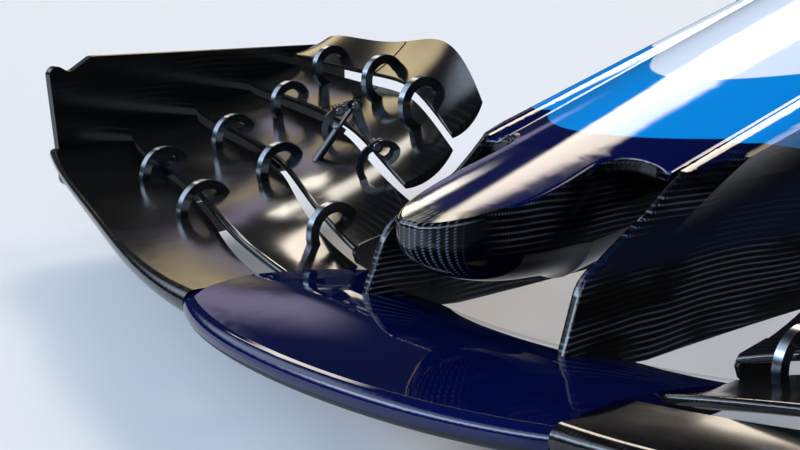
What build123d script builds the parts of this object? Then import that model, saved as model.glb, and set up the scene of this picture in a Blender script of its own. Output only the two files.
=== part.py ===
from build123d import *
import math
import os

# Nose and front wing of an open wheel racing car, in millimetres.
# Every station is written as on the car: x to the car's left, y aft of the wing's foremost edge,
# z up from the car's reference plane. save() moves a finished piece into the part's own frame,
# whose origin is the centre of the nose's rear bulkhead, with +X left, +Y aft and +Z up.

# Nose, overall
BULKHEAD_Y = 1060.0
NOSE_FLOOR_Z = 234.0
NOSE_WALL = 8.0
HOLLOW_FRONT_Y = 425.0

# Nose, cross sections of its outer form. The crown is the top at x = 0, the shoulder is where the
# top ends, the rim is the widest point, and the waist is where the flank turns upright below it.
FORM_BOTTOM_Z = 60.0
FORM_STATIONS = (
    # y, crown_z, shoulder_x, shoulder_z, rim_x, rim_z, waist_x, waist_z, foot_x
    (100.0, 199.0, 112.0, 178.0, 150.0, 166.0, 147.0, 140.0, 148.0),
    (420.0, 291.0, 112.0, 268.0, 152.0, 262.0, 130.0, 192.0, 127.0),
    (740.0, 392.0, 115.0, 365.0, 161.0, 347.0, 147.0, 240.0, 134.0),
    (BULKHEAD_Y, 486.0, 118.0, 456.0, 168.0, 426.0, 165.0, 300.0, 150.0),
)
RIM_BULGE = 5.0

# Thumb, the blunt tip between the nostrils. In plan its end is half of an ellipse.
THUMB_TIP_Y = 132.0
THUMB_ROUND_LENGTH = 130.0
THUMB_HALF_WIDTH = 65.0
THUMB_BELLY_Z = 194.0
THUMB_DEPTH = 53.0
THUMB_TOP_SHARE = 0.70
THUMB_ROOF_Z = 300.0
THUMB_TURNS = (10, 26, 42, 58, 74, 90)
THUMB_NECK_Y = 300.0
THUMB_NECK = (64.3, 198.0, 134.0)
KEEL_END = (700.0, 56.0, 240.0, 222.0)
CHINE_RADIUS = 6.0

# Nostril, plan outline of its roof edge from the thumb to the pylon
NOSTRIL_NECK_SIDE = (60.0, 300.0)
NOSTRIL_SIDE = (68.5, 326.5)
NOSTRIL_ROOF = (78.0, 334.5)
NOSTRIL_APEX = (92.0, 340.0)
NOSTRIL_TURN = (109.0, 340.5)
NOSTRIL_CORNER = (119.0, 333.0)
NOSTRIL_LIP_RADIUS = 5.0

# Cheek, plan outline of the outer side: it runs forward and aft from the waist in two arcs
CHEEK_FRONT = (157.0, 150.0)
CHEEK_WAIST = (130.5, 305.0)
CHEEK_RIM = (152.0, 404.0)
CHEEK_END = (155.0, 450.0)

# Pylons, in side view
PYLON_THICKNESS = 11.0
PYLON_NOSE_RADIUS = 4.0
PYLON_ROUND_TOP_Z = 218.0
PYLON_BEND_RADIUS = 40.0
PYLON_EDGE = ((184.0, 92.0), (214.0, 171.0), (300.0, 215.0), (352.0, 256.0))
PYLON_LOWER_EDGE = ((300.0, 84.0), (640.0, 98.0))
PYLON_REAR_BOW = (-8.0, 10.0)
PYLON_REAR_TOP_Y = 720.0

# Bulkhead frame and the studs that hold the nose on the car
BULKHEAD_THICKNESS = 14.0
BULKHEAD_WINDOW = (190.0, 150.0)
BULKHEAD_WINDOW_RADIUS = 30.0
STUD_SPACING_X = 220.0
STUD_SPACING_Z = 140.0
STUD_RADIUS = 9.0
STUD_LENGTH = 32.0
STUD_TAPER = 6.0
STUD_FLANGE_RADIUS = 13.0

# Camera pods on the sides of the nose
POD_Y = 900.0
POD_Z = 352.0
POD_X = 232.0
POD_LENGTH = 150.0
POD_RADIUS = 21.0
POD_NOSE_SHARE = 0.34
POD_TAIL_RADIUS = 2.0
# a point its nose curve runs through, as shares of the radius and of the nose length
POD_BROW = (0.8, 0.4)
STALK_CHORD = 64.0
STALK_THICKNESS = 12.0
STALK_CREST_SHARE = 0.4

# Wing
NEUTRAL_HALF_SPAN = 250.0
NEUTRAL_LE_Z = 92.0
NEUTRAL_NOSE_RADIUS = 11.0
NEUTRAL_NOSE_TURN = 75.0
NEUTRAL_BOTTOM_Z = 75.0
NEUTRAL_TE_Z = 87.0
NEUTRAL_KEEL_SHARE = 0.09
NEUTRAL_HEEL_SHARE = 0.60
NEUTRAL_STATIONS = (
    # x, le_y, te_y, crest_y, crest_z
    (0.0, 9.0, 262.0, 135.0, 115.0),
    (125.0, 20.0, 275.0, 147.0, 114.0),
    (250.0, 62.0, 318.0, 152.0, 111.0),
)
HALF_SPAN = 1000.0
ENDPLATE_THICKNESS = 12.0
WING_HALF_SPAN = HALF_SPAN - ENDPLATE_THICKNESS
TE_THICKNESS = 2.0

# Elements outboard of the seams: leading and trailing edge at each station across the span.
# dip and belly are the angles at which the upper and the lower skin leave the nose circle.
STATION_B = 350.0
STATION_A = 550.0
STATION_C = 770.0
ELEMENTS = {
    # x, le_y, le_z, te_y, te_z, nose_radius
    "main_plane": (
        (NEUTRAL_HALF_SPAN, 62.0, 92.0, 154.0, 107.0, 13.0),
        (STATION_B, 82.0, 94.0, 190.0, 106.0, 10.0),
        (STATION_A, 150.0, 96.0, 284.0, 106.0, 8.0),
        (STATION_C, 234.0, 97.0, 368.0, 107.0, 7.0),
        (WING_HALF_SPAN, 318.0, 110.0, 452.0, 114.0, 7.0),
    ),
    "flap_2": (
        (NEUTRAL_HALF_SPAN, 184.0, 102.0, 276.0, 99.0, 4.5),
        (STATION_B, 198.0, 117.0, 292.0, 126.0, 5.0),
        (STATION_A, 280.0, 122.0, 396.0, 138.0, 5.0),
        (STATION_C, 362.0, 123.0, 478.0, 138.0, 5.0),
        (WING_HALF_SPAN, 446.0, 130.0, 560.0, 141.0, 5.0),
    ),
    "flap_3": (
        (NEUTRAL_HALF_SPAN + 2, 272.0, 116.0, 362.0, 148.0, 4.0),
        (STATION_B, 297.0, 139.0, 384.0, 172.0, 4.5),
        (STATION_A, 391.0, 153.0, 490.0, 178.0, 4.5),
        (STATION_C, 473.0, 154.0, 573.0, 174.0, 4.5),
        (WING_HALF_SPAN, 553.0, 156.0, 655.0, 169.0, 4.5),
    ),
    "flap_4": (
        (264.0, 350.0, 172.0, 418.0, 205.0, 3.5),
        (STATION_B, 384.0, 187.0, 456.0, 228.0, 4.0),
        (STATION_A, 484.0, 193.0, 566.0, 226.0, 4.0),
        (STATION_C, 567.0, 188.0, 651.0, 214.0, 4.0),
        (WING_HALF_SPAN, 648.0, 183.0, 735.0, 202.0, 4.0),
    ),
    "flap_5": (
        (264.0, 416.0, 219.0, 460.0, 254.0, 3.0),
        (STATION_B, 452.0, 243.0, 502.0, 294.0, 3.5),
        (STATION_A, 560.0, 241.0, 606.0, 286.0, 3.5),
        (STATION_C, 645.0, 228.0, 698.0, 262.0, 3.5),
        (WING_HALF_SPAN, 730.0, 216.0, 790.0, 234.0, 3.5),
    ),
}
DIP_DEG = 11.0
BELLY_DEG = 27.0

# Adjustable inboard part of the last two elements, turning about an axis above the fourth's nose
FLAP_SPLIT_X = 640.0
FLAP_SPLIT_GAP = 8.0
HINGE_RISE = 15.0
PIN_RADIUS = 3.0
PIN_CLEARANCE = 0.05
EYE_RADIUS = 7.0
ARM_BAND = 8.0
ARM_THICKNESS = 5.0
ARM_GAP = 1.0
LUG_THICKNESS = 4.0
# Across the hinge line, aft and up from it
ARM_FOOT = (-11.0, -41.0)
ARM_BEND = (-17.0, -18.0)
LUG_END = (24.0, -8.0)
LUG_BEND = (13.0, 3.0)

# Adjuster between the third element and a horn on the fourth
ADJUSTER_SHARE = 0.42
ADJUSTER_FOOT = (-44.0, -45.0)
ADJUSTER_EYE = (3.0, 22.0)
HORN_FOOT = (14.0, -10.0)
HORN_THICKNESS = 4.0
HORN_BAND = 10.0
ADJUSTER_PIN_RADIUS = 2.5
SLOT_EYE_TRAVEL = 6.0
SLOT_EYE_WALL = 3.0
SLOT_EYE_CLEARANCE = 0.4
ROD_RADIUS = 2.5
BARREL_RADIUS = 5.0
BARREL_SHARE = 0.55
WHEEL_RADIUS = 8.0
WHEEL_WIDTH = 7.0

# Root plate that joins the third element's inner end to the side of the neutral section
ROOT_THICKNESS = 5.0
ROOT_PLATE = ((277.0, 102.0), (272.0, 114.0), (278.0, 122.0), (316.0, 130.0), (318.0, 90.0), (296.0, 90.0))
ROOT_CORNER = 4.0

# Slot brackets
BRACKET_BAND = 11.0
BRACKET_THICKNESS = 9.0
BRACKET_FOOT_SHARE = 0.78
BRACKET_END_SHARE = 0.30
BRACKET_RISE = 32.0
INNER_BRACKET_X = 306.0
# the elements either side of a slot, and the stations where brackets span it
FIXED_BRACKETS = (
    ("main_plane", "flap_2", (STATION_A, STATION_C)),
    ("flap_2", "flap_3", (INNER_BRACKET_X, STATION_A, STATION_C)),
    ("flap_3", "flap_4", (STATION_C,)),
    ("flap_4", "flap_5", (STATION_C,)),
)
FLAP_BRACKETS = (
    ("flap_4", "flap_5", (STATION_B, STATION_A)),
)

# Strakes under the wing: x, front y, rear y, and how far the rear end turns outboard
STRAKES = (
    (600.0, 215.0, 400.0, 34.0),
    (770.0, 270.0, 470.0, 30.0),
)
STRAKE_THICKNESS = 3.0

# Endplates
ENDPLATE_FRONT_Y = 320.0
ENDPLATE_REAR_Y = 831.0
ENDPLATE_TOP_Z = 240.0
ENDPLATE_BOTTOM_Z = 62.0
ENDPLATE_RAKE = 18.0
ENDPLATE_DIP = 20.0
ENDPLATE_DIP_LENGTH = 68.0
ENDPLATE_FALL = 12.0
ENDPLATE_HEEL = (40.0, 50.0)
ENDPLATE_CORNER = 12.0
FOOTPLATE_THICKNESS = 5.0
FOOTPLATE_WIDTH = 80.0
FOOTPLATE_SETBACK = 26.0
FOOTPLATE_NOSE = (50.0, 90.0)

BULKHEAD_Z = (FORM_STATIONS[-1][1] + NOSE_FLOOR_Z) / 2
FAR = 3000.0
# How near an edge lies to a line or a plane to be taken as part of it
EDGE_REACH = 2.0
UPWARD = (0, 0, 1)
OUTWARD = (1, 0, 0)


def save(name, piece):
    moved = Location((0, -BULKHEAD_Y, -BULKHEAD_Z)) * piece
    export_step(moved, f"parts/{name}.step")


def save_pair(name, piece):
    save(f"{name}_left", piece)
    save(f"{name}_right", mirror(piece, about=Plane.YZ))


def across(y):
    # Plane at one station of the nose, drawn in the car's x and z
    return Plane(origin=(0, y, 0), x_dir=(1, 0, 0), z_dir=(0, -1, 0))


def beside(x):
    # Plane at one station of the span, drawn in the car's y and z
    return Plane(origin=(x, 0, 0), x_dir=(0, 1, 0), z_dir=(1, 0, 0))


def block(x0, x1, y0, y1, z0, z1):
    centre = ((x0 + x1) / 2, (y0 + y1) / 2, (z0 + z1) / 2)
    return Location(centre) * Box(x1 - x0, y1 - y0, z1 - z0)


def shift(piece, x=0.0, y=0.0, z=0.0):
    return Location((x, y, z)) * piece


def closed_face(lines):
    # The lines run in order, so that the corners of one section meet those of the next
    return Face(Wire([line.edge() for line in lines]))


def flipped(x, z):
    return (-x, z)


def through(arc):
    # The middle point of an arc, from which its mirror image is drawn
    middle = arc @ 0.5
    return (-middle.X, middle.Y)


def form_section(y, crown_z, shoulder_x, shoulder_z, rim_x, rim_z, waist_x, waist_z, foot_x):
    foot = (foot_x, FORM_BOTTOM_Z)
    waist = (waist_x, waist_z)
    rim = (rim_x, rim_z)
    shoulder = (shoulder_x, shoulder_z)
    corner = ((rim_x + shoulder_x) / 2 + RIM_BULGE / 2, (rim_z + shoulder_z) / 2 + RIM_BULGE)
    flank = TangentArc(waist, rim, tangent=(waist_x - foot_x, waist_z - FORM_BOTTOM_Z))
    brow = ThreePointArc(rim, corner, shoulder)
    return across(y) * closed_face([
        Line(foot, waist),
        flank,
        brow,
        ThreePointArc(shoulder, (0, crown_z), flipped(*shoulder)),
        ThreePointArc(flipped(*shoulder), through(brow), flipped(*rim)),
        ThreePointArc(flipped(*rim), through(flank), flipped(*waist)),
        Line(flipped(*waist), flipped(*foot)),
        Line(flipped(*foot), foot),
    ])


def outer_form():
    form = loft([form_section(*row) for row in FORM_STATIONS])
    far = 2 * CHEEK_END[0]
    beyond = closed_face([
        TangentArc(CHEEK_WAIST, CHEEK_FRONT, tangent=(0, -1)),
        TangentArc(CHEEK_WAIST, CHEEK_RIM, tangent=(0, 1)),
        Line(CHEEK_RIM, CHEEK_END),
        Line(CHEEK_END, (far, CHEEK_END[1])),
        Line((far, CHEEK_END[1]), (far, CHEEK_FRONT[1])),
        Line((far, CHEEK_FRONT[1]), CHEEK_FRONT),
    ])
    cheek = extrude(beyond, FAR, dir=UPWARD)
    return form - cheek - mirror(cheek, about=Plane.YZ)


def nostril_space():
    # All that is open beside the thumb and under the roof edge, on the car's left
    neck = (NOSTRIL_NECK_SIDE[0], 0)
    corner = NOSTRIL_CORNER
    plan = closed_face([
        Line(neck, NOSTRIL_NECK_SIDE),
        TangentArc(NOSTRIL_NECK_SIDE, NOSTRIL_SIDE, tangent=(0, 1)),
        ThreePointArc(NOSTRIL_SIDE, NOSTRIL_ROOF, NOSTRIL_APEX),
        ThreePointArc(NOSTRIL_APEX, NOSTRIL_TURN, corner),
        Line(corner, (corner[0], 0)),
        Line((corner[0], 0), neck),
    ])
    return extrude(plan, FAR, dir=UPWARD)


def pylon_profile():
    # Side view of a pylon, from its foot up the leading edge, back under the nose and forward again
    edge = FilletPolyline(*PYLON_EDGE, radius=PYLON_BEND_RADIUS)
    foot = PYLON_EDGE[0]
    top = PYLON_EDGE[-1]
    heel, toe = PYLON_LOWER_EDGE
    rear = (PYLON_REAR_TOP_Y, NOSE_FLOOR_Z)
    bow_y, bow_z = PYLON_REAR_BOW
    bow = ((rear[0] + toe[0]) / 2 + bow_y, (rear[1] + toe[1]) / 2 + bow_z)
    return [
        *edge.edges(),
        Line(top, (rear[0], top[1])),
        Line((rear[0], top[1]), rear),
        ThreePointArc(rear, bow, toe),
        Line(toe, heel),
        Line(heel, foot),
    ]


def pylon_room():
    # What the pylons take of the outer form: all below the nose's floor, and the front corners up to the top
    top_y = PYLON_EDGE[-1][0]
    return block(0, FAR, 0, FAR, 0, NOSE_FLOOR_Z) + block(NOSTRIL_CORNER[0], FAR, 0, top_y, 0, FAR)


def leading_edges(piece, wanted):
    # The long edges of a pylon that follow its leading edge in side view
    path = Wire(FilletPolyline(*PYLON_EDGE, radius=PYLON_BEND_RADIUS).edges())
    found = []
    for edge in piece.edges():
        centre = edge.center()
        ends = edge.vertices()
        along = abs(ends[0].X - ends[-1].X) < PYLON_THICKNESS / 2
        if along and wanted(centre) and path.distance_to(Vector(centre.Y, centre.Z)) < EDGE_REACH:
            found.append(edge)
    return found


def pylon(form, wing):
    side = extrude(beside(0) * closed_face(pylon_profile()), FAR, dir=OUTWARD)
    wall = (form & side) - shift(form, x=-PYLON_THICKNESS)
    piece = (wall & pylon_room()) - wing
    outer_x = CHEEK_WAIST[0] - PYLON_NOSE_RADIUS / 2
    piece = piece.fillet(PYLON_NOSE_RADIUS, leading_edges(piece, lambda place: place.X > outer_x))
    inner = leading_edges(piece, lambda place: place.X < outer_x and place.Z < PYLON_ROUND_TOP_Z)
    return piece.fillet(PYLON_NOSE_RADIUS, inner)


def both(piece):
    return piece + mirror(piece, about=Plane.YZ)


def nose_shape(form):
    # The outer form above the floor and behind the thumb, with the nostrils open and their edge rounded
    cone = form & block(-FAR, FAR, THUMB_NECK_Y, FAR, NOSE_FLOOR_Z, FAR)
    cone = cone - both(nostril_space()) - both(pylon_room() & block(0, FAR, 0, PYLON_EDGE[-1][0], 0, FAR))
    return cone.fillet(NOSTRIL_LIP_RADIUS, [edge for edge in cone.edges() if is_nostril_roof(edge)])


def is_nostril_roof(edge):
    # The edges that leave the cone's front along the nostril's plan outline, at the nose's top
    place = edge.center()
    between = NOSTRIL_NECK_SIDE[0] < abs(place.X) < NOSTRIL_CORNER[0]
    level = edge.bounding_box().size
    lies = level.Z < level.X + level.Y
    ahead = place.Y < PYLON_EDGE[-1][0] - EDGE_REACH / 2
    return between and lies and ahead and place.Z > NOSE_FLOOR_Z + NOSTRIL_LIP_RADIUS


def nose_hollow(form):
    inside = shift(form, x=-NOSE_WALL) & shift(form, x=NOSE_WALL) & shift(form, z=-NOSE_WALL)
    return inside & block(-FAR, FAR, HOLLOW_FRONT_Y, FAR, NOSE_FLOOR_Z + NOSE_WALL, FAR)


def thumb_section(y, half_width, belly_z, bottom_z):
    top = (THUMB_TOP_SHARE * half_width, THUMB_ROOF_Z)
    belly = (half_width, belly_z)
    side = TangentArc(belly, top, tangent=(0, 1))
    return across(y) * closed_face([
        EllipticalCenterArc((0, belly_z), half_width, belly_z - bottom_z, start_angle=180, arc_size=90),
        EllipticalCenterArc((0, belly_z), half_width, belly_z - bottom_z, start_angle=270, arc_size=90),
        side,
        Line(top, flipped(*top)),
        ThreePointArc(flipped(*top), through(side), flipped(*belly)),
    ])


def thumb_row(degrees):
    turn = math.radians(degrees)
    y = THUMB_TIP_Y + THUMB_ROUND_LENGTH * (1 - math.cos(turn))
    return (y, THUMB_HALF_WIDTH * math.sin(turn), THUMB_BELLY_Z, THUMB_BELLY_Z - THUMB_DEPTH * math.sin(turn))


def nose_tip(form):
    # The thumb has rounded edges round its top and its small front face
    neck = thumb_section(THUMB_NECK_Y, *THUMB_NECK)
    thumb = loft([*[thumb_section(*thumb_row(turn)) for turn in THUMB_TURNS], neck]) & form
    top = thumb.faces().sort_by(Axis.Z)[-1]
    front = thumb.faces().sort_by(Axis.Y)[0]
    last_y = THUMB_NECK_Y - EDGE_REACH / 2
    rounded = [edge for edge in top.edges() + front.edges() if edge.center().Y < last_y]
    keel = loft([neck, thumb_section(*KEEL_END)]) & block(-FAR, FAR, 0, FAR, 0, NOSE_FLOOR_Z)
    return thumb.fillet(CHINE_RADIUS, rounded) + keel


def neutral_section(x, le_y, te_y, crest_y, crest_z):
    # A round nose, then one arc over the crest and one down to the trailing edge, all tangent
    chord = te_y - le_y
    keel_y = le_y + NEUTRAL_KEEL_SHARE * chord
    heel_y = le_y + NEUTRAL_HEEL_SHARE * chord
    te_top = (te_y, NEUTRAL_TE_Z + TE_THICKNESS / 2)
    te_bottom = (te_y, NEUTRAL_TE_Z - TE_THICKNESS / 2)
    fall = NEUTRAL_LE_Z - NEUTRAL_BOTTOM_Z
    nose = CenterArc((le_y + NEUTRAL_NOSE_RADIUS, NEUTRAL_LE_Z), NEUTRAL_NOSE_RADIUS, 180, -NEUTRAL_NOSE_TURN)
    rise = TangentArc(nose @ 1, (crest_y, crest_z), tangent=nose % 1)
    return beside(x) * closed_face([
        EllipticalCenterArc((keel_y, NEUTRAL_LE_Z), keel_y - le_y, fall, start_angle=270, arc_size=-90),
        nose,
        rise,
        TangentArc(rise @ 1, te_top, tangent=rise % 1),
        Line(te_top, te_bottom),
        TangentArc((heel_y, NEUTRAL_BOTTOM_Z), te_bottom, tangent=(1, 0)),
        Line((heel_y, NEUTRAL_BOTTOM_Z), (keel_y, NEUTRAL_BOTTOM_Z)),
    ])


def main_plane_centre():
    left = [neutral_section(*row) for row in NEUTRAL_STATIONS]
    right = [neutral_section(-row[0], *row[1:]) for row in reversed(NEUTRAL_STATIONS[1:])]
    return loft([*right, *left])


def element_section(x, le_y, le_z, te_y, te_z, nose_radius):
    # The nose is a circle, and both skins run from it to the trailing edge as tangent arcs
    chord = Vector(te_y - le_y, te_z - le_z).normalized()
    normal = Vector(-chord.Y, chord.X)
    centre = Vector(le_y, le_z) + chord * nose_radius

    def on_nose(degrees):
        turn = math.radians(degrees)
        return centre + (chord * math.cos(turn) + normal * math.sin(turn)) * nose_radius

    def leaving(degrees, side):
        turn = math.radians(degrees)
        return (chord * math.sin(turn) - normal * math.cos(turn)) * side

    upper_turn = 90 - DIP_DEG
    lower_turn = -90 - BELLY_DEG
    upper = on_nose(upper_turn)
    lower = on_nose(lower_turn)
    te_top = Vector(te_y, te_z) + normal * (TE_THICKNESS / 2)
    te_bottom = Vector(te_y, te_z) - normal * (TE_THICKNESS / 2)
    return beside(x) * closed_face([
        ThreePointArc(lower, on_nose(180), upper),
        TangentArc(upper, te_top, tangent=leaving(upper_turn, 1)),
        Line(te_top, te_bottom),
        TangentArc(lower, te_bottom, tangent=leaving(lower_turn, -1)),
    ])


def wing_element(name):
    return loft([element_section(*row) for row in ELEMENTS[name]])


def root_plate():
    outline = FilletPolyline(*ROOT_PLATE, radius=ROOT_CORNER, close=True)
    return extrude(beside(NEUTRAL_HALF_SPAN) * make_face(outline.edges()), ROOT_THICKNESS, dir=OUTWARD)


def station_row(name, x):
    # The row of an element at any x, straight between the two stations beside it
    rows = ELEMENTS[name]
    for low, high in zip(rows, rows[1:]):
        if x <= high[0]:
            break
    share = (x - low[0]) / (high[0] - low[0])
    return [a + (b - a) * share for a, b in zip(low, high)]


def inside_element(name, x, share):
    # A point halfway through an element's thickness, at a share of its chord
    _, le_y, le_z, te_y, te_z, nose_radius = station_row(name, x)
    chord = Vector(te_y - le_y, te_z - le_z)
    normal = Vector(-chord.Y, chord.X).normalized()
    sag = (math.tan(math.radians(DIP_DEG / 2)) + math.tan(math.radians(BELLY_DEG / 2))) / 2
    drop = chord.length / 2 * sag * 4 * share * (1 - share)
    return Vector(le_y, le_z) + chord * share - normal * drop


def slot_bracket(ahead, behind, x):
    foot = inside_element(ahead, x, BRACKET_FOOT_SHARE)
    end = inside_element(behind, x, BRACKET_END_SHARE)
    crown = (foot + end) * 0.5 + Vector(0, BRACKET_RISE)
    band = SlotArc(ThreePointArc(foot, crown, end), BRACKET_BAND)
    return extrude(beside(x) * band, BRACKET_THICKNESS / 2, both=True)


def slot_brackets(table, elements):
    pieces = []
    for ahead, behind, stations in table:
        for x in stations:
            bracket = slot_bracket(ahead, behind, x) - elements[ahead] - elements[behind]
            pieces.append(main_solid(bracket))
    return Compound(pieces)


def main_solid(piece):
    # What is left of a piece once the elements that it stands in have taken its ends
    return piece.solids().sort_by(lambda solid: solid.volume)[-1]


def lowest(piece):
    return piece.solids().sort_by(lambda solid: solid.center().Z)[0]


def hinge_point(x):
    _, le_y, le_z, te_y, te_z, nose_radius = station_row("flap_4", x)
    chord = Vector(te_y - le_y, te_z - le_z).normalized()
    normal = Vector(-chord.Y, chord.X)
    centre = Vector(le_y, le_z) + chord * nose_radius + normal * HINGE_RISE
    return Vector(x, centre.X, centre.Y)


HINGE_B = hinge_point(STATION_B)
HINGE_A = hinge_point(STATION_A)
HINGE_LINE = (HINGE_A - HINGE_B).normalized()


def along_hinge(x):
    return HINGE_B + HINGE_LINE * ((x - HINGE_B.X) / HINGE_LINE.X)


def across_hinge(x, offset=0.0):
    # Plane square to the hinge line, drawn aft and up
    aft = Vector(-HINGE_LINE.Y, HINGE_LINE.X, 0).normalized()
    return Plane(origin=along_hinge(x) + HINGE_LINE * offset, x_dir=aft, z_dir=HINGE_LINE)


def plate(plane, outline, thickness):
    return extrude(plane * outline, thickness / 2, both=True)


def pin(plane, radius, length, place=(0, 0)):
    return extrude(plane * Pos(*place) * Circle(radius), length / 2, both=True)


def hinge_arm(x):
    plane = across_hinge(x)
    arm = SlotArc(ThreePointArc(ARM_FOOT, ARM_BEND, (0, 0)), ARM_BAND) + Circle(EYE_RADIUS)
    return plate(plane, arm, ARM_THICKNESS) - pin(plane, PIN_RADIUS + PIN_CLEARANCE, FAR)


def hinge_lug(x):
    # A fork of two plates either side of the arm, with the pin through both
    outline = SlotArc(ThreePointArc(LUG_END, LUG_BEND, (0, 0)), ARM_BAND) + Circle(EYE_RADIUS)
    offset = ARM_THICKNESS / 2 + ARM_GAP + LUG_THICKNESS / 2
    fork = [plate(across_hinge(x, side * offset), outline, LUG_THICKNESS) for side in (-1, 1)]
    width = 2 * offset + LUG_THICKNESS
    return fork[0] + fork[1] + pin(across_hinge(x), PIN_RADIUS, width)


def hinge_arms(third):
    return Compound([main_solid(hinge_arm(x) - third) for x in (STATION_B, STATION_A)])


def hinge_lugs(fourth):
    return Compound([main_solid(hinge_lug(x) - fourth) for x in (STATION_B, STATION_A)])


ADJUSTER_X = FLAP_SPLIT_X * ADJUSTER_SHARE + STATION_B * (1 - ADJUSTER_SHARE)


def adjuster(third):
    # A foot on the third element, a barrel with its wheel, and a rod whose eye is a slot along the pin's path
    plane = across_hinge(ADJUSTER_X)
    foot = Vector(*ADJUSTER_FOOT)
    eye = Vector(*ADJUSTER_EYE)
    turn = math.degrees(math.atan2(eye.Y, eye.X)) + 90
    slot_width = 2 * (ADJUSTER_PIN_RADIUS + SLOT_EYE_CLEARANCE)
    slot_length = slot_width + SLOT_EYE_TRAVEL
    place = Pos(*eye) * Rot(0, 0, turn)
    collar = SlotOverall(slot_length + 2 * SLOT_EYE_WALL, slot_width + 2 * SLOT_EYE_WALL)
    eye_plate = plate(plane, place * collar, HORN_THICKNESS)
    slot = plate(plane, place * SlotOverall(slot_length, slot_width), FAR)
    reach = (eye - foot).length
    start = plane.from_local_coords(foot)
    heading = plane.from_local_coords(eye) - start
    rod_plane = Plane(origin=start, z_dir=heading)
    rod = extrude(rod_plane * Circle(ROD_RADIUS), reach)
    barrel = extrude(rod_plane * Circle(BARREL_RADIUS), reach * BARREL_SHARE)
    wheel = extrude(rod_plane.offset(reach * BARREL_SHARE) * Circle(WHEEL_RADIUS), WHEEL_WIDTH)
    return main_solid(rod + barrel + wheel + eye_plate - slot - third)


def adjuster_horn(fourth):
    # Two cheeks on the fourth element with the pin through the rod's slotted eye
    run = Vector(*ADJUSTER_EYE) - Vector(*HORN_FOOT)
    middle = (Vector(*ADJUSTER_EYE) + Vector(*HORN_FOOT)) * 0.5
    turn = math.degrees(math.atan2(run.Y, run.X))
    outline = Pos(*middle) * Rot(0, 0, turn) * SlotCenterToCenter(run.length, HORN_BAND)
    offset = HORN_THICKNESS + ARM_GAP
    cheeks = [plate(across_hinge(ADJUSTER_X, side * offset), outline, HORN_THICKNESS) for side in (-1, 1)]
    width = 2 * offset + HORN_THICKNESS
    axle = pin(across_hinge(ADJUSTER_X), ADJUSTER_PIN_RADIUS, width, ADJUSTER_EYE)
    return main_solid(cheeks[0] + cheeks[1] + axle - fourth)


def split_flap(element):
    # The inboard part that turns and the outboard part that stays, cut square to the hinge line
    half_gap = FLAP_SPLIT_GAP / 2
    inner = split(element, bisect_by=across_hinge(FLAP_SPLIT_X, -half_gap), keep=Keep.BOTTOM)
    outer = split(element, bisect_by=across_hinge(FLAP_SPLIT_X, half_gap), keep=Keep.TOP)
    return inner, outer


def endplate():
    # Its upper edge dips behind the front corner and falls a little toward the rear
    front = ENDPLATE_FRONT_Y
    heel_length, heel_height = ENDPLATE_HEEL
    outline = FilletPolyline(
        (front + ENDPLATE_RAKE, ENDPLATE_BOTTOM_Z),
        (front, ENDPLATE_TOP_Z),
        (front + ENDPLATE_DIP_LENGTH / 2, ENDPLATE_TOP_Z - ENDPLATE_DIP),
        (front + ENDPLATE_DIP_LENGTH, ENDPLATE_TOP_Z),
        (ENDPLATE_REAR_Y, ENDPLATE_TOP_Z - ENDPLATE_FALL),
        (ENDPLATE_REAR_Y, ENDPLATE_BOTTOM_Z + heel_height),
        (ENDPLATE_REAR_Y - heel_length, ENDPLATE_BOTTOM_Z),
        radius=ENDPLATE_CORNER,
        close=True,
    )
    return extrude(beside(WING_HALF_SPAN) * make_face(outline.edges()), ENDPLATE_THICKNESS, dir=OUTWARD)


def footplate():
    inner = HALF_SPAN - FOOTPLATE_WIDTH
    front = ENDPLATE_FRONT_Y + FOOTPLATE_SETBACK
    nose_width, nose_length = FOOTPLATE_NOSE
    outline = FilletPolyline(
        (HALF_SPAN, front),
        (HALF_SPAN, ENDPLATE_REAR_Y),
        (inner, ENDPLATE_REAR_Y),
        (inner, front + nose_length),
        (inner + nose_width, front),
        radius=ENDPLATE_CORNER,
        close=True,
    )
    base = Plane(origin=(0, 0, ENDPLATE_BOTTOM_Z - FOOTPLATE_THICKNESS))
    return extrude(base * make_face(outline.edges()), FOOTPLATE_THICKNESS, dir=UPWARD)


def strake(x, front_y, rear_y, sweep, element):
    # A thin turning blade whose top follows the underside of the main plane
    path = TangentArc((x, front_y), (x + sweep, rear_y), tangent=(0, 1))
    base = Plane(origin=(0, 0, ENDPLATE_BOTTOM_Z))
    te_z = station_row("main_plane", x)[4]
    height = te_z - TE_THICKNESS - ENDPLATE_BOTTOM_Z
    blade = extrude(base * SlotArc(path, STRAKE_THICKNESS), height, dir=UPWARD)
    return lowest(blade - element)


def bulkhead(hollow, studs):
    frame = hollow & block(-FAR, FAR, BULKHEAD_Y - BULKHEAD_THICKNESS, FAR, 0, FAR)
    window = RectangleRounded(*BULKHEAD_WINDOW, BULKHEAD_WINDOW_RADIUS)
    window = across(BULKHEAD_Y) * Pos(0, BULKHEAD_Z) * window
    return frame - extrude(window, 2 * BULKHEAD_THICKNESS, both=True) - studs


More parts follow.
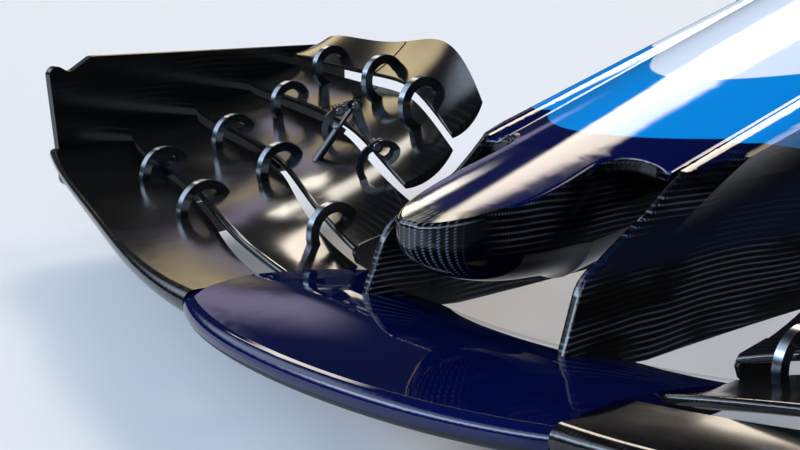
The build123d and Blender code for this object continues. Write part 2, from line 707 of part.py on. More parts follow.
def mounting_studs():
    # Four studs that stand on flanges let into the bulkhead, each with a tapered end
    studs = []
    for side in (-1, 1):
        for level in (-1, 1):
            place = (side * STUD_SPACING_X / 2, BULKHEAD_Z + level * STUD_SPACING_Z / 2)
            start = BULKHEAD_Y - BULKHEAD_THICKNESS
            profile = Pos(place[0], start, place[1]) * Rot(-90, 0, 0)
            flange = Pos(0, 0, BULKHEAD_THICKNESS / 2) * Cylinder(STUD_FLANGE_RADIUS, BULKHEAD_THICKNESS)
            shank = Pos(0, 0, BULKHEAD_THICKNESS + STUD_LENGTH / 2) * Cylinder(STUD_RADIUS, STUD_LENGTH)
            taper_z = BULKHEAD_THICKNESS + STUD_LENGTH + STUD_TAPER / 2
            tip = Pos(0, 0, taper_z) * Cone(STUD_RADIUS, STUD_RADIUS - STUD_TAPER / 2, STUD_TAPER)
            studs.append(profile * (flange + shank + tip))
    return Compound(studs)


def camera_pod(form):
    # A teardrop on a short stalk on the side of the nose
    front = POD_Y - POD_LENGTH * POD_NOSE_SHARE
    rear = front + POD_LENGTH
    brow = (POD_RADIUS * POD_BROW[0], front + (POD_Y - front) * POD_BROW[1])
    profile = closed_face([
        ThreePointArc((0, front), brow, (POD_RADIUS, POD_Y)),
        TangentArc((POD_RADIUS, POD_Y), (POD_TAIL_RADIUS, rear), tangent=(0, 1)),
        Line((POD_TAIL_RADIUS, rear), (0, rear)),
        Line((0, rear), (0, front)),
    ])
    pod = shift(revolve(profile, Axis.Y), x=POD_X, z=POD_Z)
    half = STALK_CHORD / 2
    crest = STALK_CREST_SHARE * STALK_CHORD - half
    section = closed_face([
        ThreePointArc((-half, 0), (crest, STALK_THICKNESS / 2), (half, 0)),
        ThreePointArc((half, 0), (crest, -STALK_THICKNESS / 2), (-half, 0)),
    ])
    root = Plane(origin=(0, POD_Y, POD_Z), x_dir=(0, 1, 0), z_dir=(1, 0, 0))
    stalk = extrude(root * section, POD_X, dir=OUTWARD)
    return (pod + stalk) - form


def main():
    os.makedirs("parts", exist_ok=True)
    form = outer_form()
    shell = nose_shape(form)
    hollow = nose_hollow(form)
    studs = mounting_studs()
    wing = main_plane_centre()
    elements = {name: wing_element(name) for name in ELEMENTS}
    elements["flap_3"] += root_plate()

    save("nose_cone", shell - hollow)
    save("nose_tip", nose_tip(form))
    save_pair("pylon", pylon(form, wing))
    save("bulkhead_frame", bulkhead(hollow, studs))
    save("mounting_studs", studs)
    save_pair("camera_pod", camera_pod(form))

    save("main_plane_centre", wing)
    for name in ("main_plane", "flap_2", "flap_3"):
        save_pair(name, elements[name])
    for name in ("flap_4", "flap_5"):
        inner, outer = split_flap(elements[name])
        save_pair(name, inner)
        save_pair(f"{name}_outer", outer)

    save_pair("slot_brackets", slot_brackets(FIXED_BRACKETS, elements))
    save_pair("flap_brackets", slot_brackets(FLAP_BRACKETS, elements))
    save_pair("hinge_arms", hinge_arms(elements["flap_3"]))
    save_pair("hinge_lugs", hinge_lugs(elements["flap_4"]))
    save_pair("adjuster", adjuster(elements["flap_3"]))
    save_pair("adjuster_horn", adjuster_horn(elements["flap_4"]))

    save_pair("endplate", endplate())
    save_pair("footplate", footplate())
    save_pair("strakes", Compound([strake(*row, elements["main_plane"]) for row in STRAKES]))


main()
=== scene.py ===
import math

import bmesh
import bpy
from mathutils import Matrix, Vector


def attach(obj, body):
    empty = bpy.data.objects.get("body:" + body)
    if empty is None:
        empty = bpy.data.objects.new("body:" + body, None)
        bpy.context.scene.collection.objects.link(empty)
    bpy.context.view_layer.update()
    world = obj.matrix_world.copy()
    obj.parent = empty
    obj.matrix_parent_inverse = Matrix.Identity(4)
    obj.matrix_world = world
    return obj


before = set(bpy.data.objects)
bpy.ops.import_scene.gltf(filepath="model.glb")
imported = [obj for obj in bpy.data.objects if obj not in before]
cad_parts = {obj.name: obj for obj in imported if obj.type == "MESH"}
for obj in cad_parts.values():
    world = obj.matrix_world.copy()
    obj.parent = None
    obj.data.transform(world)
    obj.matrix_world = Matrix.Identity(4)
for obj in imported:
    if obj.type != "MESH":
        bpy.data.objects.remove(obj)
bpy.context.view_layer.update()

# Places are written as on the car, in millimetres: x to its left, y aft of the wing's foremost
# edge, z up. The part's own frame has its origin at the centre of the rear bulkhead.
CAR_ORIGIN = Vector((0.0, 1060.0, 360.0))
MM = 0.001
DEGREES = 180.0 / math.pi


def car(x, y, z):
    return (Vector((x, y, z)) - CAR_ORIGIN) * MM


# Shader maths

class Signal:
    # A socket that varies over a surface, on which arithmetic adds Math nodes
    def __init__(self, graph, socket):
        self.graph = graph
        self.socket = socket

    def apply(self, operation, first, second=0.0):
        return self.graph.node("ShaderNodeMath", {"operation": operation}, (first, second))

    def __add__(self, other):
        return self.apply("ADD", self, other)

    __radd__ = __add__

    def __sub__(self, other):
        return self.apply("SUBTRACT", self, other)

    def __rsub__(self, other):
        return self.apply("SUBTRACT", other, self)

    def __mul__(self, other):
        return self.apply("MULTIPLY", self, other)

    __rmul__ = __mul__

    def __truediv__(self, other):
        return self.apply("DIVIDE", self, other)

    def __mod__(self, other):
        return self.apply("FLOORED_MODULO", self, other)

    def __lt__(self, other):
        return self.apply("LESS_THAN", self, other)

    def __abs__(self):
        return self.apply("ABSOLUTE", self)

    def floor(self):
        return self.apply("FLOOR", self)

    def sine(self):
        return self.apply("SINE", self)

    def arcsine(self):
        return self.apply("ARCSINE", self)

    def power(self, other):
        return self.apply("POWER", self, other)

    def angle_from(self, other):
        return self.apply("ARCTAN2", self, other)

    def least(self, other):
        return self.apply("MINIMUM", self, other)

    def most(self, other):
        return self.apply("MAXIMUM", self, other)

    def rise(self, low, high):
        # 0 below low, 1 above high, and a soft step between
        settings = {"interpolation_type": "SMOOTHSTEP"}
        return self.graph.node("ShaderNodeMapRange", settings, (self, low, high, 0.0, 1.0))

    def within(self, low, high, soft):
        # 1 between low and high, with soft edges
        return self.rise(low - soft, low + soft) * (1.0 - self.rise(high - soft, high + soft))


# The Mix node's colour sockets, by their places among its inputs and outputs
MIX_SHARE, MIX_FIRST, MIX_SECOND, MIX_RESULT = 0, 6, 7, 2


class Graph:
    # The nodes of a material or of the world
    def __init__(self, tree, coordinates):
        self.tree = tree
        self.place = self.node("ShaderNodeTexCoord", {}, {}, coordinates)
        parts = tree.nodes.new("ShaderNodeSeparateXYZ")
        tree.links.new(self.place.socket, parts.inputs["Vector"])
        self.axes = [Signal(self, output) for output in parts.outputs]

    def node(self, kind, settings, values, output=0):
        made = self.tree.nodes.new(kind)
        for name, value in settings.items():
            setattr(made, name, value)
        for socket, value in values.items() if isinstance(values, dict) else enumerate(values):
            self.feed(made.inputs[socket], value)
        return Signal(self, made.outputs[output])

    def feed(self, socket, value):
        if isinstance(value, Signal):
            self.tree.links.new(value.socket, socket)
        else:
            socket.default_value = value

    def mix(self, share, first, second, blend="MIX"):
        settings = {"data_type": "RGBA", "blend_type": blend}
        values = {MIX_SHARE: share, MIX_FIRST: first, MIX_SECOND: second}
        return self.node("ShaderNodeMix", settings, values, MIX_RESULT)


NOISE_ROUGHNESS = 0.55


class Finish(Graph):
    # A material, the constants of its shader, and what varies over its surface
    def __init__(self, name, constants):
        self.material = bpy.data.materials.new(name)
        self.material.use_nodes = True
        super().__init__(self.material.node_tree, "Object")
        self.shader = self.tree.nodes["Principled BSDF"]
        for socket, value in constants.items():
            self.set(socket, value)
        self.x, self.y, self.z = [axis / MM + start for axis, start in zip(self.axes, CAR_ORIGIN)]

    def set(self, name, value):
        self.feed(self.shader.inputs[name], value)

    def noise(self, scale, detail, stretch=(1.0, 1.0, 1.0)):
        place = self.node("ShaderNodeMapping", {}, {"Vector": self.place, "Scale": stretch})
        values = {"Vector": place, "Scale": scale, "Detail": detail, "Roughness": NOISE_ROUGHNESS}
        return self.node("ShaderNodeTexNoise", {}, values)

    def bump(self, height, strength, distance):
        values = {"Strength": strength, "Distance": distance, "Height": height}
        self.set("Normal", self.node("ShaderNodeBump", {}, values))


# Woven cloth under clear lacquer

TOWS_REPEAT = 4.0
TOWS_OVER = 2.0
TOW_SHEEN = 1.6


def twill(along, up, tow):
    # A two by two twill whose diagonal runs along the first direction: how much its bright tow shows
    step = math.sqrt(2) * tow
    first = (along + up) / step
    second = (along - up) / step
    first_cell = first.floor()
    second_cell = second.floor()
    first_part = first - first_cell
    second_part = second - second_cell
    order = (first_cell - second_cell) % TOWS_REPEAT
    over = order < TOWS_OVER - 0.5
    over_run = (order + first_part) / TOWS_OVER
    height = (second_part * math.pi).sine() * (over_run * math.pi).sine()
    return over * height.power(TOW_SHEEN)


# Each cloth: the width of a tow in millimetres, its dark and its bright colour
TOW_DARK = (0.0008, 0.001, 0.0014, 1.0)
NOSE_CLOTH = (2.0, TOW_DARK, (0.13, 0.155, 0.20, 1.0))
WING_CLOTH = (3.0, (0.004, 0.004, 0.004, 1.0), (0.020, 0.019, 0.018, 1.0))
WANDER_SCALE = 7.0
WANDER_REACH = 14.0
# Random patches of painted sheen, where the weave's bright tows show
PATCH_SCALE = 14.0
PATCH_STRETCH = (1.0, 0.6, 1.4)
PATCH_EDGE = (0.42, 0.60)
PATCH_LEAST = 0.06


def lay_carbon(finish, along, up, cloth):
    # The cloth is laid by hand, so its rows wander slowly. Its bright tows show only in random patches,
    # a painted sheen where light catches the weave.
    tow, dark, light = cloth
    wander = (finish.noise(WANDER_SCALE, 1.0) - 0.5) * WANDER_REACH
    bright = twill(along, up + wander, tow)
    sheen_patches = finish.noise(PATCH_SCALE, 2.0, PATCH_STRETCH).rise(*PATCH_EDGE)
    return finish.mix(bright * (PATCH_LEAST + (1.0 - PATCH_LEAST) * sheen_patches), dark, light)


SHEEN_SCALE = 30.0
SHEEN_SPREAD = 0.06


def wing_carbon(name, axes, roughness):
    finish = Finish(name, {})
    along, up = [getattr(finish, axis) for axis in axes]
    finish.set("Base Color", lay_carbon(finish, along, up, WING_CLOTH))
    finish.set("Roughness", roughness + (finish.noise(SHEEN_SCALE, 3.0) - 0.5) * SHEEN_SPREAD)
    return finish


# Nose paint. The top rises aft from a first height, and falls away to both sides.

LACQUER_ROUGHNESS = 0.03
NAVY = (0.0012, 0.0036, 0.044, 1.0)
BAND_BLUE = (0.002, 0.235, 0.62, 1.0)
BAND_WHITE = (0.80, 0.83, 0.87, 1.0)
CROWN_Y = 100.0
CROWN_Z = 199.0
CROWN_SLOPE = 0.2542
CROWN_CURVE = 0.000104
CROWN_HALF_WIDTH = 112.0
CROWN_FALL = 22.0


def top_height(finish):
    # Height above the nose's own top surface
    aft = finish.y - CROWN_Y
    crown = CROWN_Z + aft * CROWN_SLOPE + aft * aft * CROWN_CURVE
    fall = (finish.x * finish.x) * (CROWN_FALL / CROWN_HALF_WIDTH ** 2)
    return finish.z - crown + fall


BLUE_Y = 425.0
BLUE_Z = 267.0
BLUE_SLOPE = 0.2
WHITE_Y = 472.0
WHITE_Z = 307.0
WHITE_SLOPE = 0.1
BAND_EDGE = (-0.35, 0.35)


def paint_bands(finish, ground):
    # Navy in front, then light blue, then white, each bounded by a level that meets the curved top
    aft = (finish.y - BLUE_Y).most(0.0)
    blue = (finish.z - BLUE_Z + aft * BLUE_SLOPE).rise(*BAND_EDGE)
    white = (finish.z - WHITE_Z - (finish.y - WHITE_Y) * WHITE_SLOPE).rise(*BAND_EDGE)
    return finish.mix(white, finish.mix(blue, ground, BAND_BLUE), BAND_WHITE)


# Low and high ends of the soft steps between cloth, paint and the painted shade of the hollows
FLANK_X = (117.0, 119.0)
RIM_Y = 420.0
RIM_Z = 262.0
RIM_SLOPE = 0.268
RIM_FADE = (-3.0, 16.0)
ROOF_SKIN = (-1.8, -1.2)
NOSTRIL_END_Y = (351.0, 353.0)
HOLLOW_END_Y = 360.0
HOLLOW_DEPTH = (-14.0, -9.0)


def nose_paint():
    finish = Finish("nose_paint", {"Roughness": LACQUER_ROUGHNESS, "Specular IOR Level": 0.5})
    cloth = lay_carbon(finish, finish.y, finish.z, NOSE_CLOTH)
    rim = finish.z - (finish.y - RIM_Y) * RIM_SLOPE - RIM_Z
    outside = abs(finish.x).rise(*FLANK_X)
    roof = top_height(finish).rise(*ROOF_SKIN).most(finish.y.rise(*NOSTRIL_END_Y))
    cover = outside * rim.rise(*RIM_FADE) + (1.0 - outside) * roof
    ground = finish.mix(cover, cloth, NAVY)
    # Painted shade: the nostrils' hollows, deep under the top, are made black and fully metallic, so
    # that they send back no light
    shallow = top_height(finish).rise(*HOLLOW_DEPTH)
    hollow_shade = (1.0 - outside) * (finish.y < HOLLOW_END_Y) * (1.0 - shallow)
    finish.set("Base Color", finish.mix(hollow_shade, paint_bands(finish, ground), TOW_DARK))
    finish.set("Metallic", hollow_shade)
    return finish


GLOSS = {"Roughness": 0.07, "Specular IOR Level": 0.5}
TIP_CENTRE_Y = 262.0
TIP_FRONT = 24.0
TIP_SWEEP = 105.0
TIP_FRONT_FADE = (15.0, 24.0)
TIP_SIDE_FADE = (28.0, 52.0)
TIP_SIDE_Z = (172.0, 200.0)
TIP_PAINT_Y = 164.0
TIP_PAINT_BOW = 0.0135
TIP_PAINT_EDGE = (-0.4, 0.4)
TIP_SKIN = (-1.6, -1.0)


def tip_finish():
    # The rows of the weave run back along the sides, and down over the round front
    finish = Finish("thumb_paint_and_carbon", GLOSS)
    turn = finish.x.angle_from(TIP_CENTRE_Y - finish.y)
    turned_degrees = abs(turn) * DEGREES
    front = turned_degrees < TIP_FRONT
    along = front * finish.z + (1.0 - front) * finish.y
    up = front * (turn * TIP_SWEEP) + (1.0 - front) * finish.z
    cloth = lay_carbon(finish, along, up, NOSE_CLOTH)
    ahead = 1.0 - turned_degrees.rise(*TIP_FRONT_FADE)
    beside = turned_degrees.rise(*TIP_SIDE_FADE) * finish.z.rise(*TIP_SIDE_Z)
    cloth = finish.mix(ahead.most(beside), TOW_DARK, cloth)
    edge = finish.y - (finish.x * finish.x) * TIP_PAINT_BOW - TIP_PAINT_Y
    cover = edge.rise(*TIP_PAINT_EDGE) * top_height(finish).rise(*TIP_SKIN)
    finish.set("Base Color", finish.mix(cover, cloth, NAVY))
    return finish


PYLON_NAVY = (0.003, 0.006, 0.022, 1.0)
PYLON_OUTSIDE_X = (126.0, 129.5)
PYLON_BAND_FOOT = (160.0, 176.0)
PYLON_BAND_TOP = (198.0, 224.0)
PYLON_BAND_Y = 334.0
PYLON_BAND_SLOPE = 0.15
PYLON_BAND_SHARE = 0.85


def pylon_finish():
    # Bare cloth, with a darker navy band that rises aft across the outer face
    finish = Finish("pylon_carbon", GLOSS)
    cloth = lay_carbon(finish, finish.y, finish.z, NOSE_CLOTH)
    upper = (finish.y - PYLON_BAND_Y) * PYLON_BAND_SLOPE
    band = finish.z.rise(*PYLON_BAND_FOOT) * (1.0 - (finish.z - upper).rise(*PYLON_BAND_TOP))
    band = band * abs(finish.x).rise(*PYLON_OUTSIDE_X) * PYLON_BAND_SHARE
    finish.set("Base Color", finish.mix(band, cloth, PYLON_NAVY))
    return finish


# The neutral section. Its leading edge bows aft to both sides, and the top is shaded a little
# flatter from soon behind it.
NEUTRAL_NAVY = (0.001, 0.003, 0.034, 1.0)
EDGE_Y = 9.0
EDGE_BOW = 0.000656
EDGE_BOW_OUTER = 3.07e-9
FLAT_START = 12.0
FLAT_END = 100.0
FLAT_DEPTH = -0.00024
LIP_DARK = (0.004, 0.005, 0.007, 1.0)
LIP_Z = (86.0, 87.0)
LIP_ROUGHNESS = 0.6
MOTTLE_SCALE = 9.0
MOTTLE_EDGE = (0.25, 0.75)


def wing_paint():
    # Lacquer over the top, and a bare dark lip below it
    finish = Finish("wing_paint", {"Specular IOR Level": 0.45})
    spread = finish.x * finish.x
    leading_edge = EDGE_Y + spread * EDGE_BOW + spread * spread * EDGE_BOW_OUTER
    behind = (finish.y - leading_edge).most(FLAT_START).least(FLAT_END)
    finish.bump((behind - behind * behind / (2.0 * FLAT_END)) * FLAT_DEPTH, 1.0, 1.0)
    mottle = finish.noise(MOTTLE_SCALE, 3.0).rise(*MOTTLE_EDGE)
    paint = finish.mix(mottle, NAVY, NEUTRAL_NAVY)
    lacquer = finish.z.rise(*LIP_Z)
    finish.set("Base Color", finish.mix(lacquer, LIP_DARK, paint))
    finish.set("Roughness", LIP_ROUGHNESS - lacquer * (LIP_ROUGHNESS - LACQUER_ROUGHNESS))
    return finish


# Metal and pods

GRAIN_SCALE = 60.0
GRAIN_STRETCH = (1.0, 6.0, 6.0)
GRAIN_SPREAD = 0.12
GRAIN_BUMP = 0.05
GRAIN_HEIGHT = 0.0002
WORN_SHADE = 0.6
WORN_SHARE = 0.5


def satin_metal(name, colour, roughness):
    finish = Finish(name, {"Metallic": 1.0})
    grain = finish.noise(GRAIN_SCALE, 4.0, GRAIN_STRETCH)
    worn = tuple(channel * WORN_SHADE for channel in colour)
    finish.set("Base Color", finish.mix(grain * WORN_SHARE, colour + (1.0,), worn + (1.0,)))
    finish.set("Roughness", roughness + (grain - 0.5) * GRAIN_SPREAD)
    finish.bump(grain, GRAIN_BUMP, GRAIN_HEIGHT)
    return finish


POD_BLACK = (0.012, 0.012, 0.012, 1.0)
POD_DUST = (0.03, 0.03, 0.03, 1.0)
POD_ROUGHNESS = 0.2
DUST_SCALE = 40.0
DUST_SHARE = 0.3
DUST_SPREAD = 0.1


def pod_lacquer():
    finish = Finish("pod_lacquer", {"Coat Weight": 0.8, "Coat Roughness": 0.08})
    dust = finish.noise(DUST_SCALE, 4.0)
    finish.set("Base Color", finish.mix(dust * DUST_SHARE, POD_BLACK, POD_DUST))
    finish.set("Roughness", POD_ROUGHNESS + (dust - 0.5) * DUST_SPREAD)
    return finish


finishes = {
    "nose_cone": nose_paint(),
    "nose_tip": tip_finish(),
    "pylon": pylon_finish(),
    "main_plane_centre": wing_paint(),
    "element": wing_carbon("wing_carbon", "xy", 0.12),
    "endplate": wing_carbon("endplate_carbon", "yz", 0.16),
    "bulkhead_frame": wing_carbon("bulkhead_carbon", "xz", 0.45),
    "bracket": satin_metal("bracket_metal", (0.20, 0.22, 0.25), 0.22),
    "adjuster": satin_metal("adjuster_metal", (0.05, 0.052, 0.058), 0.30),
    "steel": satin_metal("stud_steel", (0.55, 0.55, 0.57), 0.24),
    "pod": pod_lacquer(),
}
# Nodes that don't take the finish of their own name or of the wing's elements
SHARED_FINISHES = {
    "mounting_studs": "steel",
    "camera_pod": "pod",
    "adjuster_horn": "bracket",
    "hinge_arms": "bracket",
    "hinge_lugs": "bracket",
    "slot_brackets": "bracket",
    "flap_brackets": "bracket",
    "footplate": "endplate",
    "strakes": "endplate",
}

for node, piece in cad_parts.items():
    kind = node.removesuffix("_left").removesuffix("_right")
    finish = finishes.get(SHARED_FINISHES.get(kind, kind), finishes["element"])
    for slot in piece.material_slots:
        slot.material = finish.material


# Small turned pieces. Each row is a loop along the axis: its height in millimetres, its share of
# the radius, and its form.

LOOP_SIDES = 36
KNURL_DEPTH = 0.05
SHARP_DEGREES = 32
ROUND, HEXAGON, KNURLED = range(3)
SCREW = (
    (-1.5, 1.0, ROUND),
    (0.25, 1.0, ROUND),
    (0.5, 0.86, ROUND),
    (0.5, 0.48, HEXAGON),
    (-0.9, 0.48, HEXAGON),
)
BOLT_HEAD = (
    (-0.8, 1.0, HEXAGON),
    (1.7, 1.0, HEXAGON),
    (2.1, 0.86, ROUND),
    (2.1, 0.40, ROUND),
    (1.6, 0.40, ROUND),
)
WASHER = (
    (-0.5, 1.0, ROUND),
    (1.2, 1.0, ROUND),
    (1.6, 0.94, ROUND),
    (1.6, 0.62, ROUND),
)
LATCH = (
    (-1.5, 1.0, ROUND),
    (0.3, 1.0, ROUND),
    (0.6, 0.94, ROUND),
    (0.6, 0.78, ROUND),
    (0.2, 0.74, ROUND),
    (0.2, 0.30, ROUND),
    (-0.6, 0.26, HEXAGON),
)
LENS = (
    (-6.0, 0.96, ROUND),
    (7.0, 1.0, ROUND),
    (8.2, 0.94, ROUND),
    (8.2, 0.80, ROUND),
    (6.6, 0.76, ROUND),
    (6.9, 0.55, ROUND),
    (7.3, 0.28, ROUND),
    (7.4, 0.06, ROUND),
)
WHEEL_RIM = (
    (0.3, 0.90, ROUND),
    (0.3, 1.0, ROUND),
    (0.9, 1.05, KNURLED),
    (6.1, 1.05, KNURLED),
    (6.7, 1.0, ROUND),
    (6.7, 0.90, ROUND),
)


def loop_radius(turn, radius, form):
    if form == HEXAGON:
        sixth = math.pi / 3
        return radius * math.cos(sixth / 2) / math.cos((turn + sixth / 2) % sixth - sixth / 2)
    if form == KNURLED:
        groove = round(turn / math.tau * LOOP_SIDES) % 2
        return radius * (1.0 - KNURL_DEPTH * groove)
    return radius


def draw_row(loop, radius, height, share, form):
    # Move a loop's points to a row's height and outline
    for point in loop:
        turn = math.atan2(point.co.y, point.co.x)
        reach = loop_radius(turn, radius * share, form)
        point.co = (reach * math.cos(turn), reach * math.sin(turn), height)


def turned(shape, place, axis, radius, rows):
    # Place in car millimetres, axis as it points out of the surface, radius in millimetres
    points = bmesh.ops.create_circle(shape, cap_ends=True, segments=LOOP_SIDES, radius=radius)["verts"]
    edges = list(dict.fromkeys(edge for point in points for edge in point.link_edges))
    draw_row(points, radius, *rows[0])
    for row in rows[1:]:
        extruded = bmesh.ops.extrude_edge_only(shape, edges=edges)["geom"]
        loop = [part for part in extruded if isinstance(part, bmesh.types.BMVert)]
        edges = [part for part in extruded if isinstance(part, bmesh.types.BMEdge) and part.is_boundary]
        draw_row(loop, radius, *row)
        points += loop
    bmesh.ops.edgeloop_fill(shape, edges=edges)
    stand = Vector(axis).to_track_quat("Z", "Y").to_matrix().to_4x4()
    matrix = Matrix.Translation(car(*place)) @ stand @ Matrix.Scale(MM, 4)
    bmesh.ops.transform(shape, matrix=matrix, verts=points)


def small_piece(name, body, finish, radius, rows, places):
    # One object of the same turned form at all its places, each with the axis it stands along
    shape = bmesh.new()
    for place, axis in places:
        turned(shape, place, axis, radius, rows)
    bmesh.ops.recalc_face_normals(shape, faces=shape.faces)
    mesh = bpy.data.meshes.new(name)
    shape.to_mesh(mesh)
    shape.free()
    mesh.shade_smooth()
    mesh.set_sharp_from_angle(angle=math.radians(SHARP_DEGREES))
    piece = bpy.data.objects.new(name, mesh)
    bpy.context.scene.collection.objects.link(piece)
    mesh.materials.append(finishes[finish].material)
    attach(piece, body)


# The hinge line of the adjustable flaps on the car's left, and planes square to it
HINGE_PLACE = Vector((350.0, 380.053, 202.014))
HINGE_HEADING = Vector((0.890371, 0.454344, 0.028468))
HINGE_AFT = Vector((-HINGE_HEADING.y, HINGE_HEADING.x, 0.0)).normalized()
HINGE_UP = HINGE_HEADING.cross(HINGE_AFT)
ADJUSTER_STATION = 471.8
ADJUSTER_FOOT = (-44.0, -45.0)
ADJUSTER_EYE = (3.0, 22.0)
WHEEL_SHARE = 0.55
PINS = (
    # station x, aft and up of the hinge line, half the width between the heads
    (350.0, 0.0, 0.0, 7.5),
    (550.0, 0.0, 0.0, 7.5),
    (ADJUSTER_STATION, *ADJUSTER_EYE, 7.0),
)


def by_hinge(station, side, aft, up, along=0.0):
    # A point given across and along the hinge line, on the left (1) or the right (-1)
    start = HINGE_PLACE + HINGE_HEADING * ((station - HINGE_PLACE.x) / HINGE_HEADING.x + along)
    point = start + HINGE_AFT * aft + HINGE_UP * up
    return Vector((point.x * side, point.y, point.z))


def toward(start, end):
    return (end - start).normalized()


def pin_heads(side):
    for station, aft, up, half in PINS:
        middle = by_hinge(station, side, aft, up)
        for end in (-half, half):
            head = by_hinge(station, side, aft, up, end)
            yield head, toward(middle, head)


def adjuster_wheel(side):
    foot = by_hinge(ADJUSTER_STATION, side, *ADJUSTER_FOOT)
    eye = by_hinge(ADJUSTER_STATION, side, *ADJUSTER_EYE)
    yield foot.lerp(eye, WHEEL_SHARE), toward(foot, eye)


def each_side(*rows):
    # The same places on both sides of the car, with their axes mirrored
    for place, axis in rows:
        for side in (1, -1):
            yield (place[0] * side, place[1], place[2]), (axis[0] * side, axis[1], axis[2])


OUTWARD = (1, 0, 0)
INWARD = (-1, 0, 0)
AFT = (0, 1, 0)
AHEAD = (0, -1, 0)
BESIDE_X = 400.0


def flank_point(y, z):
    # Where a level line from the car's left meets the nose cone, and the way out of it there
    place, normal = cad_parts["nose_cone"].ray_cast(car(BESIDE_X, y, z), INWARD)[1:3]
    return place / MM + CAR_ORIGIN, normal


PIN_HEAD_RADIUS = 4.6
WHEEL_RADIUS = 8.4
ENDPLATE_SCREW_RADIUS = 3.6
BULKHEAD_SCREW_RADIUS = 4.2
WASHER_RADIUS = 15.0
LENS_RADIUS = 9.5
LATCH_RADIUS = 11.0
ENDPLATE_X = 1000.0
ENDPLATE_SCREWS = (
    # y, z on the outer face, in line with the ends of the elements and along the lower edge
    (356.0, 108.0), (412.0, 110.0), (482.0, 133.0), (532.0, 138.0),
    (586.0, 160.0), (634.0, 167.0), (676.0, 188.0), (716.0, 199.0),
    (752.0, 222.0), (372.0, 76.0), (560.0, 76.0), (740.0, 76.0),
)
BULKHEAD_SCREWS = (
    # x, z on the rear face
    (62.0, 264.0), (124.0, 268.0), (142.0, 330.0), (142.0, 395.0), (62.0, 462.0),
)
STUDS = ((110.0, 290.0), (110.0, 430.0))
POD_FRONT = (232.0, 858.0, 352.0)
LATCH_Y = 1012.0
LATCH_LEVELS = (300.0, 400.0)
SIDES = {"left": 1, "right": -1}

for label, side in SIDES.items():
    small_piece(
        f"hinge_pin_heads_{label}", f"flap_{label}", "steel",
        PIN_HEAD_RADIUS, BOLT_HEAD, pin_heads(side),
    )
    small_piece(
        f"adjuster_knurls_{label}", "root", "adjuster",
        WHEEL_RADIUS, WHEEL_RIM, adjuster_wheel(side),
    )
small_piece(
    "endplate_screws", "root", "steel", ENDPLATE_SCREW_RADIUS, SCREW,
    each_side(*[((ENDPLATE_X, y, z), OUTWARD) for y, z in ENDPLATE_SCREWS]),
)
small_piece(
    "bulkhead_screws", "root", "steel", BULKHEAD_SCREW_RADIUS, SCREW,
    each_side(*[((x, CAR_ORIGIN.y, z), AFT) for x, z in BULKHEAD_SCREWS]),
)
small_piece(
    "stud_washers", "root", "steel", WASHER_RADIUS, WASHER,
    each_side(*[((x, CAR_ORIGIN.y, z), AFT) for x, z in STUDS]),
)
small_piece(
    "pod_lenses", "root", "pod", LENS_RADIUS, LENS,
    each_side((POD_FRONT, AHEAD)),
)
small_piece(
    "nose_latches", "root", "steel", LATCH_RADIUS, LATCH,
    each_side(*[flank_point(LATCH_Y, z) for z in LATCH_LEVELS]),
)


# Camera at the photograph's place

CAMERA_PLACE = (1.106192, -1.851385, 0.162142)
CAMERA_YAW = 50.347
CAMERA_PITCH = 12.371
CAMERA_ROLL = 0.318
CAMERA_LENS = 77.05
CAMERA_SENSOR = 36.0

camera_data = bpy.data.cameras.new("camera")
camera = bpy.data.objects.new("camera", camera_data)
bpy.context.scene.collection.objects.link(camera)
bpy.context.scene.camera = camera
camera_data.sensor_width = CAMERA_SENSOR
camera_data.lens = CAMERA_LENS
camera.matrix_world = (
    Matrix.Translation(CAMERA_PLACE)
    @ Matrix.Rotation(math.radians(CAMERA_YAW), 4, "Z")
    @ Matrix.Rotation(math.radians(90 - CAMERA_PITCH), 4, "X")
    @ Matrix.Rotation(math.radians(CAMERA_ROLL), 4, "Z")
)


# Floor

FLOOR_Z = -30.0
FLOOR_REACH = 30.0
FLOOR_COOL = (0.78, 0.79, 0.81, 1.0)
FLOOR_WARM = (0.83, 0.83, 0.82, 1.0)
FLOOR_DARK = (0.03, 0.031, 0.035, 1.0)
FLOOR_DARK_X = (150.0, 450.0)
FLOOR_ROUGHNESS = 0.55
FLOOR_MOTTLE = 0.8


def floor():
    shape = bmesh.new()
    bmesh.ops.create_grid(shape, x_segments=1, y_segments=1, size=FLOOR_REACH)
    bmesh.ops.translate(shape, verts=shape.verts, vec=car(0, 0, FLOOR_Z))
    mesh = bpy.data.meshes.new("floor")
    shape.to_mesh(mesh)
    shape.free()
    plane = bpy.data.objects.new("floor", mesh)
    bpy.context.scene.collection.objects.link(plane)
    finish = Finish("floor_finish", {"Roughness": FLOOR_ROUGHNESS})
    pale = finish.mix(finish.noise(FLOOR_MOTTLE, 2.0), FLOOR_COOL, FLOOR_WARM)
    # The floor on the car's left is dark in the car's own reflections alone
    mirrored = finish.node("ShaderNodeLightPath", {}, {}, "Is Glossy Ray")
    dark = mirrored * finish.x.rise(*FLOOR_DARK_X)
    finish.set("Base Color", finish.mix(dark, pale, FLOOR_DARK))
    mesh.materials.append(finish.material)


floor()


# World. Azimuths and elevations are in degrees, with 0 straight aft and 90 on the car's left.

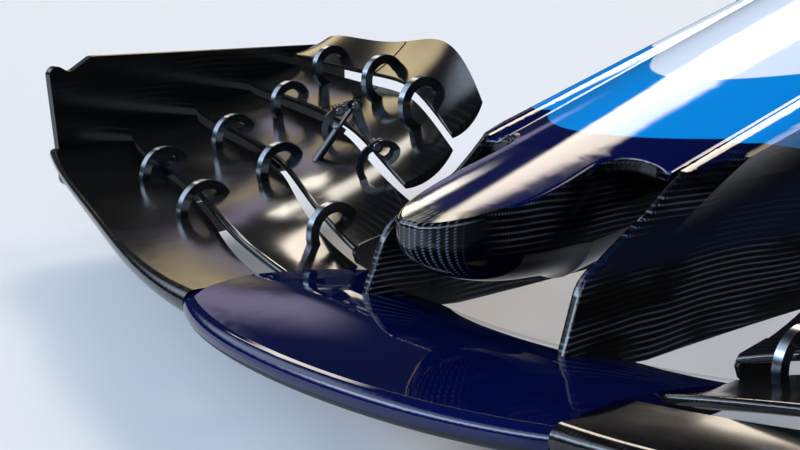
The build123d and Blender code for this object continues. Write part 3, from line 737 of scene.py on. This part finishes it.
WORLD_DARK = (0.02, 0.023, 0.03, 1.0)
SKY_TOWARD = (-0.17, -0.98)
SKY_COLOUR = (1.9, 2.25, 2.75, 1.0)
SKY_EDGE = (-0.05, 0.35)
SKY_LEVELS = (16.0, 46.0, 6.0)
SKY_BRIGHT = (5.2, 6.6, 8.8, 1.0)
BRIGHT_EDGE = (0.55, 0.75)
BRIGHT_LEVELS = (20.0, 32.0, 2.0)
PANEL_COLOUR = (7.6, 6.6, 5.5, 1.0)
PANEL_START = -60.5
PANEL_END = -26.0
PANEL_LEVEL = 37.0
PANEL_HALF_HEIGHT = 9.5
PANEL_TAPER = 0.85
PANEL_EDGE = (-1.0, 2.0)
GLOWS = (
    # azimuth from, to, elevation from, to, softness, colour
    (-61.0, -57.5, 20.0, 25.0, 1.0, (6.0, 5.6, 4.8, 1.0)),
    (-74.0, -60.0, 28.0, 35.0, 1.5, (6.0, 5.5, 4.8, 1.0)),
    (-60.0, -53.0, 13.5, 17.0, 1.5, (0.6, 0.52, 0.75, 1.0)),
    (-74.0, -56.0, 5.0, 12.0, 2.5, (1.5, 1.2, 0.7, 1.0)),
    (5.0, 40.0, 52.0, 66.0, 6.0, (5.0, 4.2, 3.0, 1.0)),
)


def studio_world():
    # Cool light ahead of the car, and a warm panel with smaller glows behind its right side
    world = bpy.data.worlds.new("studio")
    bpy.context.scene.world = world
    world.use_nodes = True
    around = Graph(world.node_tree, "Generated")
    east, north, up = around.axes
    azimuth = east.angle_from(north) * DEGREES
    elevation = up.arcsine() * DEGREES
    facing = east * SKY_TOWARD[0] + north * SKY_TOWARD[1]
    sky = facing.rise(*SKY_EDGE) * elevation.within(*SKY_LEVELS)
    bright = facing.rise(*BRIGHT_EDGE) * elevation.within(*BRIGHT_LEVELS)
    colour = around.mix(sky, WORLD_DARK, SKY_COLOUR)
    colour = around.mix(bright, colour, SKY_BRIGHT, "ADD")
    reach = ((azimuth - PANEL_START) * PANEL_TAPER).least(PANEL_HALF_HEIGHT)
    panel = (reach - abs(elevation - PANEL_LEVEL)).rise(*PANEL_EDGE) * (azimuth < PANEL_END)
    colour = around.mix(panel, colour, PANEL_COLOUR, "ADD")
    for low, high, bottom, top, soft, glow in GLOWS:
        share = azimuth.within(low, high, soft) * elevation.within(bottom, top, soft)
        colour = around.mix(share, colour, glow, "ADD")
    around.feed(around.tree.nodes["Background"].inputs["Color"], colour)


studio_world()
bpy.context.scene.view_settings.view_transform = "Standard"
